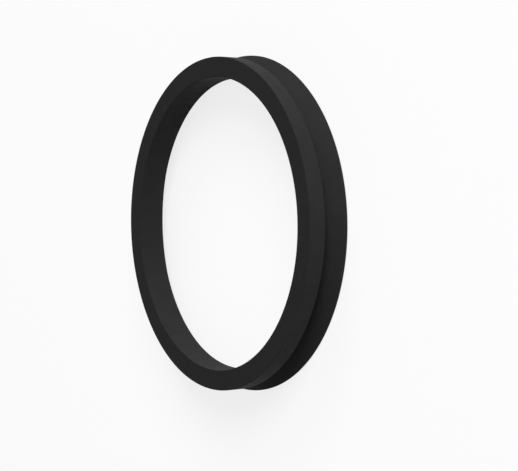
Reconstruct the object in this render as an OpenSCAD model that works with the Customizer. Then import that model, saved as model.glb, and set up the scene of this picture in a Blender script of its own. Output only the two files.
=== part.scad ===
// V-ring: an all-rubber shaft seal. The body grips the shaft by its stretched bore and turns with it.
// The conical lip, joined to the body by a thin hinge, seals against a flat face that stands still.
// The ring lies on the tip of its lip, with its back face up and its axis along Z.

/* [Body] */
// Diameter of the bore in its free state
bore_d = 90; // [60:1:120]
// Height of the section, from the bore to the outer wall
section_h = 6.2; // [5.2:0.1:8]
// Width of the outer wall, from the back face to the groove
body_w = 5.2; // [3.5:0.1:6.4]
// Width of the bore, from the back face to the front face
bore_w = 8.5; // [6.8:0.1:10.4]
// Radius of the moulded edges
edge_r = 0.2; // [0.1:0.05:0.3]

/* [Sealing lip] */
// Width of the whole ring in its free state, from the back face to the tip of the lip
ring_w = 12.7; // [10:0.1:15]
// Distance that the lip stands out past the outer wall
lip_over = 0.9; // [0.2:0.1:3]
// Thickness of the lip at its tip
tip_t = 0.8; // [0.7:0.05:1.2]
// Angle between the square-cut end of the lip and the axis
tip_lean = 35; // [20:1:50]
// Thickness of the hinge between the groove and the front face
hinge_t = 1.7; // [1.4:0.1:2.4]

/* [Groove] */
// Depth of the groove below the outer wall
groove_depth = 3.7; // [2.8:0.1:4.4]
// Radius at the root of the groove
root_r = 0.7; // [0.4:0.05:0.9]

/* [Hidden] */
rubber_colour = [0.15, 0.15, 0.15];
// Facets of a preview round the axis, and degrees between the points of a rounded corner
$fn = 180;
corner_step = 10;

bore_r = bore_d / 2;
body_r = bore_r + section_h;

// The flat end of the lip, from its front corner out to its outer one
tip_end = (tip_t - 2 * edge_r) * [sin(tip_lean), cos(tip_lean)];

// Centres of the rounded corners in the half section, as [distance from the axis, height]
back_inner = [bore_r + edge_r, ring_w - edge_r];
back_outer = [body_r - edge_r, ring_w - edge_r];
shoulder = [body_r - edge_r, ring_w - body_w + edge_r];
front_inner = [bore_r + edge_r, ring_w - bore_w];
tip_outer = [body_r + lip_over - edge_r, edge_r + tip_end[1]];
tip_front = tip_outer - tip_end;

// The front face is a cone that runs from the front end of the bore to the tip
front_slope = heading(front_inner, tip_front);
front_foot = tip_front + edge_r * [sin(front_slope), -cos(front_slope)];

// The root of the groove lies one hinge thickness behind the front face
root_offset = body_r - groove_depth + root_r;
root = [root_offset, front_height(root_offset) + (hinge_t + root_r) / cos(front_slope)];

// The two walls of the groove, from its root out to the shoulder of the body and to the tip of the lip
body_slope = heading(root, shoulder) - asin((edge_r + root_r) / norm(shoulder - root));
lip_slope = heading(root, tip_outer) + asin((edge_r + root_r) / norm(tip_outer - root));

// Angle of the line from one point to another
function heading(from, to) = atan2(to[1] - from[1], to[0] - from[0]);

// Height of the front face at a distance from the axis
function front_height(offset) = front_foot[1] + (offset - front_foot[0]) * tan(front_slope);

// Points of a rounded corner, from one angle to another
function corner(centre, radius, from, to) =
    let (steps = ceil(abs(to - from) / corner_step))
    [
        for (i = [0 : steps])
            let (angle = from + (to - from) * i / steps)
            centre + radius * [cos(angle), sin(angle)]
    ];

// Half section of the ring: round the body, down into the groove, out to the tip and back to the bore
section = concat(
    corner(back_inner, edge_r, 180, 90),
    corner(back_outer, edge_r, 90, 0),
    corner(shoulder, edge_r, 0, body_slope - 90),
    corner(root, root_r, body_slope + 90, lip_slope + 270),
    corner(tip_outer, edge_r, lip_slope + 90, -tip_lean),
    corner(tip_front, edge_r, -tip_lean, front_slope - 90),
    corner(front_inner, edge_r, front_slope - 90, -180)
);

module v_ring() {
    color(rubber_colour) rotate_extrude() polygon(section);
}

v_ring();
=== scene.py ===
"""Looks of a V-ring: a black moulded rubber ring that lies on its lip, in a pale studio.

Everything is in metres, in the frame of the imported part: the ring's axis is +Z and its back face is up.
"""

import math

import bmesh
import bpy
from mathutils import Matrix, Vector


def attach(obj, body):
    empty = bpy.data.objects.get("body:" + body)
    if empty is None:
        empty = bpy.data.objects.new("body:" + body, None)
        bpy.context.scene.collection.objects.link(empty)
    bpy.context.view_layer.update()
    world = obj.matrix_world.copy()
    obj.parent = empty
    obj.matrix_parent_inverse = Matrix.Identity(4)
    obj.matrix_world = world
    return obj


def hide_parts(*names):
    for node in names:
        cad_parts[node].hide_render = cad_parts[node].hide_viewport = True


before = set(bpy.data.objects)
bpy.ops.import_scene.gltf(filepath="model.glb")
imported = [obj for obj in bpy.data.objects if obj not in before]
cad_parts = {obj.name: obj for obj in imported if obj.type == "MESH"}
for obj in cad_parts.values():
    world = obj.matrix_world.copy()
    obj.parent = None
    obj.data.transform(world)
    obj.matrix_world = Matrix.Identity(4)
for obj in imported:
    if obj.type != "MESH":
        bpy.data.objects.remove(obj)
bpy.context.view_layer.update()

MM = 0.001
NODE = "v_ring"

# Camera: where it stands, how it is turned, its lens and sensor in millimetres, and the nearest it sees
CAMERA_PLACE = Vector((0, -371.05, 247.06)) * MM
LOOK_DOWN = math.radians(34.165)
LOOK_ASIDE = math.radians(0.606)
ROLL = math.radians(-91.387)
LENS = 99.02
SENSOR_WIDTH = 36
NEAREST_SEEN = 1 * MM

# Ring: facets round its axis, and how near the cut plane a corner of the section has to lie
RING_FACETS = 360
CUT_TOLERANCE = 0.001 * MM

# Rubber: the two shades of its clouds, its gloss, and the sizes of what shows in its skin
DARK_SHADE = (0.0126, 0.0126, 0.0127, 1)
LIGHT_SHADE = (0.0140, 0.0140, 0.0140, 1)
SPECULAR = 0.185
SMOOTH_SKIN = 0.80
ROUGH_SKIN = 0.90
CLOUD_SIZE = 14 * MM
PATCH_SIZE = 3 * MM
GRAIN_SIZE = 0.2 * MM
GRAIN_HEIGHT = 0.02 * MM
MARK_PITCH = 0.35 * MM
MARK_HEIGHT = 0.015 * MM

# Noise: the range that most of it fills, and the narrower one over which the mould's marks fade in
NOISE_RANGE = (0.3, 0.7)
FADE_RANGE = (0.4, 0.6)

# Floor: a flat disc whose rim sweeps up all round
FLOOR_RADIUS = 2.5
SWEEP_RADIUS = 0.8
SWEEP_STEPS = 12
FLOOR_FACETS = 96
FLOOR_GREY = 0.94
FLOOR_GLOW = 0.8

# Light: the even light of the room, and the azimuth, elevation and power of each soft lamp
ROOM_LIGHT = 0.31
LAMPS = (
    (math.radians(-48), math.radians(30), 39),
    (math.radians(5), math.radians(18), 18.5),
)
LAMP_DISTANCE = 2
LAMP_SIZE = 1


def section_loop(mesh):
    """Corners of the solid's half section, as (distance from the axis, height), in order round it."""
    place = {}
    for vertex in mesh.vertices:
        x, y, z = vertex.co
        if x > 0 and abs(y) < CUT_TOLERANCE:
            place[vertex.index] = (round(x / CUT_TOLERANCE), round(z / CUT_TOLERANCE))
    beside = {corner: set() for corner in place.values()}
    for edge in mesh.edges:
        ends = [place.get(index) for index in edge.vertices]
        if None not in ends and ends[0] != ends[1]:
            beside[ends[0]].add(ends[1])
            beside[ends[1]].add(ends[0])
    corner = min(beside, key=lambda c: (len(beside[c]), c))
    loop = [corner]
    while len(loop) < len(beside):
        corner = min(beside[corner] - set(loop))
        loop.append(corner)
    return [(r * CUT_TOLERANCE, z * CUT_TOLERANCE) for r, z in loop]


def lathe(name, profile, facets, closed):
    """A smooth surface that turns a profile of (distance from the axis, height) round Z.

    A profile that isn't closed gets a flat lid over its first point.
    """
    count = len(profile)
    turns = [math.tau * step / facets for step in range(facets)]
    points = [(r * math.cos(a), r * math.sin(a), z) for a in turns for r, z in profile]
    strips = range(count if closed else count - 1)
    faces = []
    for step in range(facets):
        here, after = step * count, (step + 1) % facets * count
        for i in strips:
            j = (i + 1) % count
            faces.append((here + i, after + i, after + j, here + j))
    if not closed:
        faces.append([step * count for step in range(facets)])
    mesh = bpy.data.meshes.new(name)
    mesh.from_pydata(points, [], faces)
    shape = bmesh.new()
    shape.from_mesh(mesh)
    bmesh.ops.recalc_face_normals(shape, faces=shape.faces)
    shape.to_mesh(mesh)
    shape.free()
    mesh.shade_smooth()
    made = bpy.data.objects.new(name, mesh)
    bpy.context.scene.collection.objects.link(made)
    return made


def flatten_flats(piece):
    """Normals weighted by the area of the faces, so that wide faces stay flat up to their rounded edges."""
    normals = [Vector() for _ in piece.data.vertices]
    for face in piece.data.polygons:
        for index in face.vertices:
            normals[index] += face.normal * face.area
    piece.data.normals_split_custom_set_from_vertices([normal.normalized() for normal in normals])


def shader_tree(name):
    """A new material and its nodes, with only the output node in them."""
    material = bpy.data.materials.new(name)
    material.use_nodes = True
    tree = material.node_tree
    tree.nodes.clear()
    tree.nodes.new("ShaderNodeOutputMaterial")
    return material, tree


def add(tree, kind, settings=None, **inputs):
    """A node with its settings, and with values or links at its inputs, by name or as i0, i1 and so on."""
    made = tree.nodes.new("ShaderNode" + kind)
    for name, value in (settings or {}).items():
        setattr(made, name, value)
    for name, value in inputs.items():
        numbered = name[0] == "i" and name[1:].isdigit()
        socket = made.inputs[int(name[1:]) if numbered else name]
        if isinstance(value, bpy.types.NodeSocket):
            tree.links.new(value, socket)
        else:
            socket.default_value = value
    return made


def noise(tree, place, size, detail):
    """Cloudy noise from 0 to 1, whose blobs have a given size."""
    return add(tree, "TexNoise", Vector=place, Scale=1 / size, Detail=detail).outputs["Fac"]


def spread(tree, value, taken, start, end):
    """A value's range, given as its low and high end, taken to the range from start to end."""
    low, high = taken
    return add(tree, "MapRange", i0=value, i1=low, i2=high, i3=start, i4=end).outputs[0]


def times(tree, first, second):
    """Product of two values."""
    return add(tree, "Math", {"operation": "MULTIPLY"}, i0=first, i1=second).outputs[0]


def larger(tree, first, second):
    """Larger one of two values."""
    return add(tree, "Math", {"operation": "MAXIMUM"}, i0=first, i1=second).outputs[0]


def rubber():
    """Black moulded rubber: matte, with a fine grain, cloudy shade and faint marks of the turned mould."""
    material, tree = shader_tree("black_rubber")
    place = add(tree, "TexCoord").outputs["Object"]

    clouds = spread(tree, noise(tree, place, CLOUD_SIZE, detail=3), NOISE_RANGE, 0, 1)
    shade = add(tree, "Mix", {"data_type": "RGBA"}, i0=clouds, i6=DARK_SHADE, i7=LIGHT_SHADE)
    patches = noise(tree, place, PATCH_SIZE, detail=4)
    roughness = spread(tree, patches, NOISE_RANGE, SMOOTH_SKIN, ROUGH_SKIN)

    grain = noise(tree, place, GRAIN_SIZE, detail=2)
    grained = add(tree, "Bump", Distance=GRAIN_HEIGHT, Height=grain)

    flat = add(tree, "VectorMath", {"operation": "MULTIPLY"}, i0=place, i1=(1, 1, 0))
    from_axis = add(tree, "VectorMath", {"operation": "LENGTH"}, i0=flat.outputs[0])
    height = add(tree, "SeparateXYZ", i0=place).outputs["Z"]
    around = add(tree, "CombineXYZ", X=from_axis.outputs["Value"], Y=height)
    rings = noise(tree, around.outputs[0], MARK_PITCH, detail=2)
    marks = times(tree, rings, spread(tree, patches, FADE_RANGE, 0, 1))
    skin = add(tree, "Bump", Distance=MARK_HEIGHT, Height=marks, Normal=grained.outputs[0])

    shader = add(tree, "BsdfPrincipled", Roughness=roughness, Normal=skin.outputs[0])
    tree.links.new(shade.outputs[2], shader.inputs["Base Color"])
    shader.inputs["Specular IOR Level"].default_value = SPECULAR
    tree.links.new(shader.outputs[0], tree.nodes["Material Output"].inputs["Surface"])
    return material


def floor_paint():
    """Pale matte paint, near white to the camera and in reflections, that keeps the ring's shadow."""
    material, tree = shader_tree("pale_floor")
    matte = add(tree, "BsdfDiffuse", Color=(FLOOR_GREY, FLOOR_GREY, FLOOR_GREY, 1))
    white = add(tree, "Emission", Color=(1, 1, 1, 1), Strength=1)
    path = add(tree, "LightPath").outputs
    mirrored = larger(tree, path["Is Glossy Ray"], path["Is Transmission Ray"])
    seen = larger(tree, path["Is Camera Ray"], mirrored)
    mixed = add(
        tree, "MixShader", i0=times(tree, seen, FLOOR_GLOW), i1=matte.outputs[0], i2=white.outputs[0]
    )
    tree.links.new(mixed.outputs[0], tree.nodes["Material Output"].inputs["Surface"])
    return material


def floor():
    """Flat floor under the ring, with a rim that sweeps up out of sight."""
    profile = [(FLOOR_RADIUS / 2, 0)]
    for step in range(SWEEP_STEPS + 1):
        turn = math.pi / 2 * step / SWEEP_STEPS
        profile.append((FLOOR_RADIUS + SWEEP_RADIUS * math.sin(turn), SWEEP_RADIUS * (1 - math.cos(turn))))
    ground = lathe("floor", profile, FLOOR_FACETS, closed=False)
    ground.data.materials.append(floor_paint())


def room():
    """Even white surroundings that light the ring softly from all sides."""
    world = bpy.data.worlds.new("room")
    world.use_nodes = True
    bpy.context.scene.world = world
    surroundings = world.node_tree.nodes["Background"]
    surroundings.inputs["Color"].default_value = (1, 1, 1, 1)
    surroundings.inputs["Strength"].default_value = ROOM_LIGHT


def lamp(azimuth, elevation, power):
    """Soft square lamp that looks at the ring, unseen by the camera."""
    light = bpy.data.lights.new("soft_lamp", "AREA")
    light.size = LAMP_SIZE
    light.energy = power
    level = math.cos(elevation)
    towards = Vector((level * math.cos(azimuth), level * math.sin(azimuth), math.sin(elevation)))
    holder = bpy.data.objects.new("soft_lamp", light)
    holder.location = towards * LAMP_DISTANCE
    holder.rotation_euler = towards.to_track_quat("Z", "Y").to_euler()
    holder.visible_camera = False
    bpy.context.scene.collection.objects.link(holder)


def camera():
    """Camera at the photograph's viewing angle, rolled so that the ring's axis lies across the picture."""
    data = bpy.data.cameras.new("camera")
    data.sensor_width = SENSOR_WIDTH
    data.lens = LENS
    data.clip_start = NEAREST_SEEN
    holder = bpy.data.objects.new("camera", data)
    holder.matrix_world = (
        Matrix.Translation(CAMERA_PLACE)
        @ Matrix.Rotation(LOOK_ASIDE, 4, "Z")
        @ Matrix.Rotation(math.pi / 2 - LOOK_DOWN, 4, "X")
        @ Matrix.Rotation(ROLL, 4, "Z")
    )
    bpy.context.scene.collection.objects.link(holder)
    bpy.context.scene.camera = holder


ring = lathe("moulded_ring", section_loop(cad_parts[NODE].data), RING_FACETS, closed=True)
flatten_flats(ring)
ring.data.materials.append(rubber())
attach(ring, "root")
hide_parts(NODE)

floor()
room()
for settings in LAMPS:
    lamp(*settings)
camera()
bpy.context.scene.view_settings.view_transform = "Standard"
